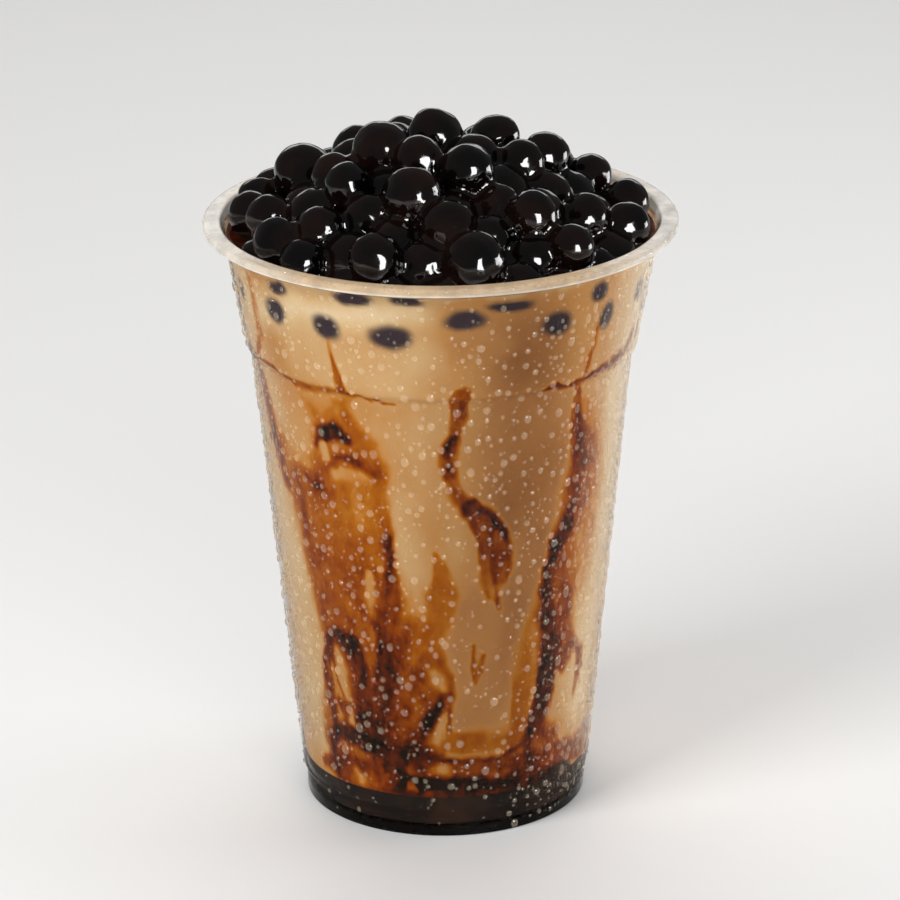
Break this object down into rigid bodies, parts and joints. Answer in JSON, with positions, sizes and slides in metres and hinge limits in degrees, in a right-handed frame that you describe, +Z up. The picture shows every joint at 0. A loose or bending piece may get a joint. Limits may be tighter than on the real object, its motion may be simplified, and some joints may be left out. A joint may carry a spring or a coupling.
{
  "type": "bubble tea",
  "caption": "Tall clear plastic cup filled to the lip with milk tea over dark syrup, heaped with glossy black tapioca pearls.",
  "frame": {"origin": "middle of the cup's foot, on the table", "axes": "+Z up along the cup's axis; the picture looks along +Y, from the front at -Y"},
  "size_m": [0.095, 0.095, 0.1428],
  "materials": {
    "cup_plastic": "clear, slightly milky, with droplets of condensation",
    "syrup": "thick dark syrup",
    "milk_tea": "opaque milk tea with syrup streaks",
    "pearls": "wet and glossy"
  },
  "bodies": {
    "root": {"cup": "cup_plastic", "syrup_layer": "syrup", "milk_tea": "milk_tea", "pearl_heap": "pearls"}
  },
  "joints": []
}
